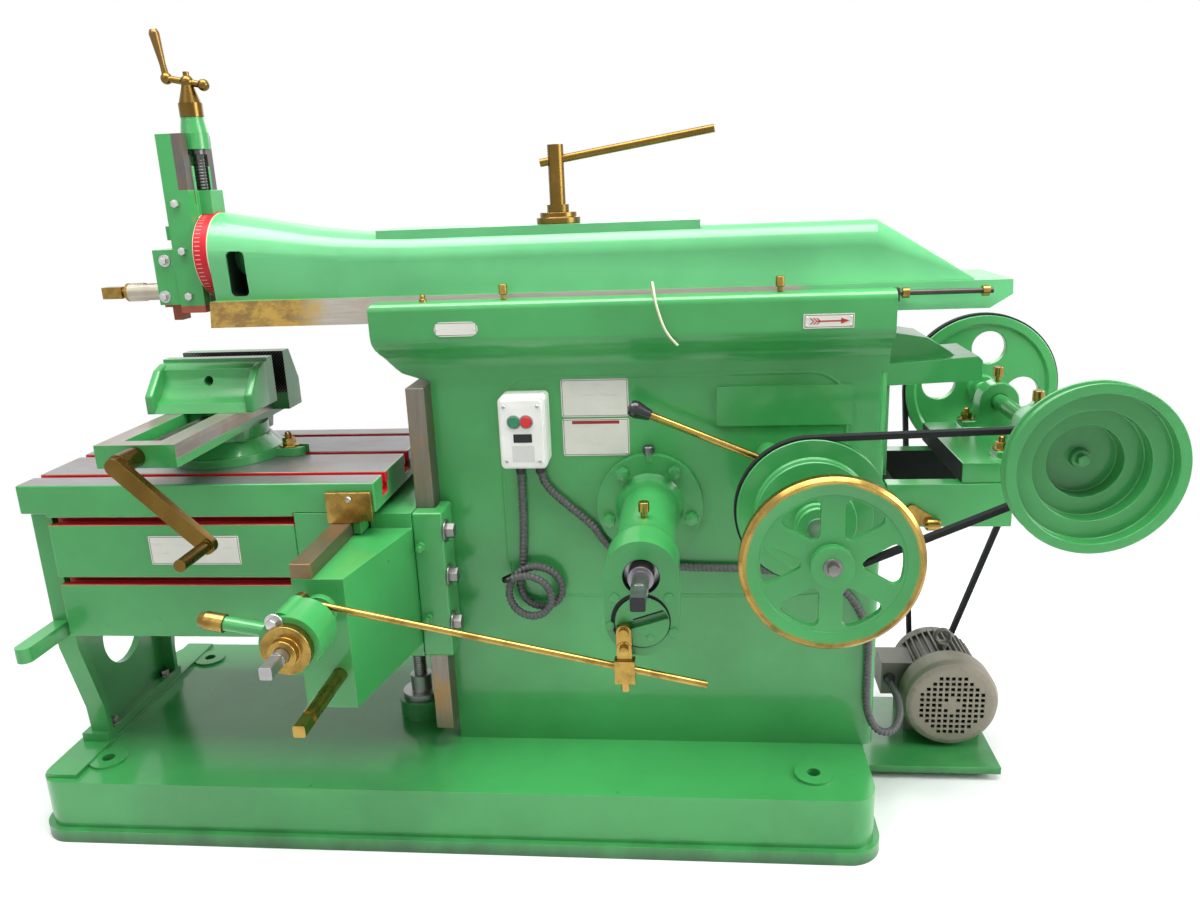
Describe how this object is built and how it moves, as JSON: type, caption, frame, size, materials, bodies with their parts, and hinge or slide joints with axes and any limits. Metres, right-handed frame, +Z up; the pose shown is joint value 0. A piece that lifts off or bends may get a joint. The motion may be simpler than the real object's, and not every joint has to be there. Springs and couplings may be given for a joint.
{
  "type": "metal shaper",
  "caption": "Belt-driven metal shaper: a ram on a column carries a tool head over a slotted table with a swivel vise, on a cast base.",
  "frame": {"origin": "centre of the base's underside, on the floor", "axes": "+X to the rear of the machine along the stroke, -Y to the operator, +Z up"},
  "size_m": [1.8513, 0.937, 1.3524],
  "materials": {
    "green_paint": "gloss enamel",
    "brass": "polished",
    "bright_steel": "machined",
    "worn_iron": "machined and oiled",
    "motor_grey": "satin",
    "belt_black": "matt",
    "starter_white": "gloss",
    "button_green": "gloss",
    "button_red": "gloss",
    "conduit_dark": "ribbed",
    "tube_cream": "soft",
    "red_primer": "satin"
  },
  "bodies": {
    "frame": {"base": "green_paint", "column": "green_paint", "column_way": "worn_iron", "ram_gib": "bright_steel", "elevating_nut": "bright_steel", "nose_housing": "green_paint", "starter_box": "starter_white", "supply_conduit": "conduit_dark", "conduit_coil": "conduit_dark", "motor_conduit": "conduit_dark", "oil_tube": "tube_cream", "oil_cups": "brass", "countershaft_bracket": "green_paint", "bearing_blocks": "green_paint", "drive_belt": "belt_black", "motor_belt": "belt_black", "motor_plate": "green_paint", "motor_body": "motor_grey", "fan_cowl": "motor_grey"},
    "ram": {"ram": "green_paint", "clamp_flange": "brass"},
    "ram_clamp": {"clamp_handle": "brass"},
    "head": {"swivel_head": "green_paint"},
    "tool_slide": {"tool_slide": "green_paint"},
    "downfeed": {"downfeed_screw": "bright_steel", "ball_crank": "brass"},
    "clapper_box": {"clapper_box": "green_paint"},
    "clapper": {"clapper_block": "red_primer", "tool_post": "brass"},
    "rail": {"cross_rail": "green_paint", "rail_guide_bar": "worn_iron", "rail_clamps": "green_paint"},
    "elevating_shaft": {"elevating_shaft": "brass"},
    "elevating_screw": {"elevating_screw": "bright_steel"},
    "feed_screw": {"feed_screw": "bright_steel", "feed_collar": "brass"},
    "pawl_arm": {"pawl_arm": "green_paint"},
    "pawl_plunger": {"pawl_plunger": "brass"},
    "feed_rod": {"feed_rod": "brass", "feed_link": "brass"},
    "table": {"table": "green_paint", "saddle": "green_paint", "way_wiper": "brass", "vise_base": "green_paint"},
    "support": {"table_support": "green_paint"},
    "vise_bed": {"vise_bed": "green_paint"},
    "vise_jaw": {"vise_jaw": "green_paint"},
    "vise_crank": {"vise_crank": "brass"},
    "drive": {"cone_pulley": "green_paint", "hand_wheel": "green_paint"},
    "bull_gear": {"bull_gear": "bright_steel"},
    "crank_block": {"crank_block": "bright_steel"},
    "rocker": {"rocker_arm": "bright_steel"},
    "stroke_shaft": {"stroke_shaft": "bright_steel"},
    "feed_disc": {"feed_disc": "green_paint"},
    "countershaft": {"countershaft": "green_paint"},
    "motor_rotor": {"motor_rotor": "belt_black"},
    "clutch_lever": {"clutch_lever": "brass"},
    "start_button": {"start_button": "button_green"},
    "stop_button": {"stop_button": "button_red"}
  },
  "joints": [
    {"name": "ram_stroke", "type": "slide", "parent": "frame", "child": "ram", "axis": [1, 0, 0], "range_m": [-0.38, 0.22]},
    {"name": "ram_clamp_turn", "type": "hinge", "parent": "ram", "child": "ram_clamp", "pos_m": [0.215, 0, 1.122], "axis": [0, 0, 1], "range_deg": [-45, 90]},
    {"name": "head_swivel", "type": "hinge", "parent": "ram", "child": "head", "pos_m": [-0.362, 0, 0.99], "axis": [1, 0, 0], "range_deg": [-45, 45]},
    {"name": "downfeed_crank", "type": "hinge", "parent": "tool_slide", "child": "downfeed", "pos_m": [-0.3903, 0, 1.269], "axis": [0, 0, 1], "range_deg": [-3601, 1441]},
    {"name": "tool_slide_travel", "type": "slide", "parent": "head", "child": "tool_slide", "axis": [0, 0, 1], "range_m": [-0.05, 0.02]},
    {"name": "clapper_box_tilt", "type": "hinge", "parent": "tool_slide", "child": "clapper_box", "pos_m": [-0.4328, 0, 0.99], "axis": [1, 0, 0], "range_deg": [-15, 15]},
    {"name": "clapper_lift", "type": "hinge", "parent": "clapper_box", "child": "clapper", "pos_m": [-0.4511, 0, 0.985], "axis": [0, 1, 0], "range_deg": [0, 25]},
    {"name": "elevating_shaft_turn", "type": "hinge", "parent": "rail", "child": "elevating_shaft", "pos_m": [-0.094, -0.4, 0.395], "axis": [0, 1, 0], "range_deg": [0, 3001]},
    {"name": "rail_lift", "type": "slide", "parent": "frame", "child": "rail", "axis": [0, 0, 1], "range_m": [0, 0.05]},
    {"name": "elevating_screw_turn", "type": "hinge", "parent": "rail", "child": "elevating_screw", "pos_m": [-0.094, 0, 0.395], "axis": [0, 0, 1], "range_deg": [-3001, 0]},
    {"name": "feed_screw_turn", "type": "hinge", "parent": "rail", "child": "feed_screw", "pos_m": [-0.11, -0.4, 0.5], "axis": [0, 1, 0], "range_deg": [-7201, 9361]},
    {"name": "table_cross", "type": "slide", "parent": "rail", "child": "table", "axis": [0, 1, 0], "range_m": [-0.1, 0.13]},
    {"name": "support_cross", "type": "slide", "parent": "frame", "child": "support", "axis": [0, 1, 0], "range_m": [-0.1001, 0.1301]},
    {"name": "pawl_arm_swing", "type": "hinge", "parent": "rail", "child": "pawl_arm", "pos_m": [-0.11, -0.457, 0.5], "axis": [0, 1, 0], "range_deg": [-15, 15]},
    {"name": "feed_rod_pivot", "type": "hinge", "parent": "pawl_arm", "child": "feed_rod", "pos_m": [-0.12, -0.415, 0.5325], "axis": [0, 1, 0], "range_deg": [-16, 16]},
    {"name": "pawl_plunger_pull", "type": "slide", "parent": "pawl_arm", "child": "pawl_plunger", "axis": [-0.9848, 0, 0.1736], "range_m": [0, 0.008], "stiffness_N_per_m": 600, "springref_m": -0.006},
    {"name": "vise_swivel", "type": "hinge", "parent": "table", "child": "vise_bed", "pos_m": [-0.403, -0.016, 0.675], "axis": [0, 0, 1], "range_deg": [-90, 30]},
    {"name": "vise_screw_turn", "type": "hinge", "parent": "vise_bed", "child": "vise_crank", "pos_m": [-0.403, -0.3, 0.713], "axis": [0, 1, 0], "range_deg": [-7200, 2640]},
    {"name": "vise_jaw_slide", "type": "slide", "parent": "vise_bed", "child": "vise_jaw", "axis": [0, 1, 0], "range_m": [-0.1201, 0.0441]},
    {"name": "drive_turn", "type": "hinge", "parent": "frame", "child": "drive", "pos_m": [0.607, 0, 0.598], "axis": [0, 1, 0], "continuous": true},
    {"name": "bull_gear_turn", "type": "hinge", "parent": "frame", "child": "bull_gear", "pos_m": [0.359, 0, 0.565], "axis": [0, 1, 0], "continuous": true},
    {"name": "feed_disc_turn", "type": "hinge", "parent": "frame", "child": "feed_disc", "pos_m": [0.359, 0, 0.499], "axis": [0, 1, 0], "continuous": true},
    {"name": "countershaft_turn", "type": "hinge", "parent": "frame", "child": "countershaft", "pos_m": [0.977, 0, 0.681], "axis": [0, 1, 0], "continuous": true},
    {"name": "motor_turn", "type": "hinge", "parent": "frame", "child": "motor_rotor", "pos_m": [0.907, 0, 0.12], "axis": [0, 1, 0], "continuous": true},
    {"name": "stroke_adjust", "type": "hinge", "parent": "bull_gear", "child": "stroke_shaft", "pos_m": [0.359, 0, 0.565], "axis": [0, 1, 0], "range_deg": [-4320, 3600]},
    {"name": "crank_block_slide", "type": "slide", "parent": "bull_gear", "child": "crank_block", "axis": [0, 0, 1], "range_m": [-0.0601, 0.0501]},
    {"name": "rocker_swing", "type": "hinge", "parent": "frame", "child": "rocker", "pos_m": [0.359, 0, 0.17], "axis": [0, 1, 0], "range_deg": [-31.3, 18.2]},
    {"name": "clutch_swing", "type": "hinge", "parent": "frame", "child": "clutch_lever", "pos_m": [0.552, -0.15, 0.65], "axis": [0, 1, 0], "range_deg": [-15, 15]},
    {"name": "start_button_press", "type": "slide", "parent": "frame", "child": "start_button", "axis": [0, 1, 0], "range_m": [0, 0.003], "stiffness_N_per_m": 500, "springref_m": -0.002},
    {"name": "stop_button_press", "type": "slide", "parent": "frame", "child": "stop_button", "axis": [0, 1, 0], "range_m": [0, 0.003], "stiffness_N_per_m": 500, "springref_m": -0.002}
  ],
  "couplings": [
    {"joint": "downfeed_crank", "follows": "tool_slide_travel", "rad_per_m": 1256.6},
    {"joint": "elevating_shaft_turn", "follows": "rail_lift", "rad_per_m": 1047.2},
    {"joint": "elevating_screw_turn", "follows": "rail_lift", "rad_per_m": -1047.2},
    {"joint": "feed_screw_turn", "follows": "table_cross", "rad_per_m": 1256.6},
    {"joint": "support_cross", "follows": "table_cross", "ratio": 1},
    {"joint": "feed_rod_pivot", "follows": "pawl_arm_swing", "ratio": -1},
    {"joint": "vise_jaw_slide", "follows": "vise_screw_turn", "m_per_rad": 0.00095493},
    {"joint": "bull_gear_turn", "follows": "drive_turn", "ratio": -0.2},
    {"joint": "feed_disc_turn", "follows": "drive_turn", "ratio": 0.2},
    {"joint": "countershaft_turn", "follows": "drive_turn", "ratio": 3.1176},
    {"joint": "motor_turn", "follows": "drive_turn", "ratio": 14.809},
    {"joint": "crank_block_slide", "follows": "stroke_adjust", "m_per_rad": 0.00079577},
    {"joint": "rocker_swing", "follows": "ram_stroke", "rad_per_m": 1.4286}
  ]
}
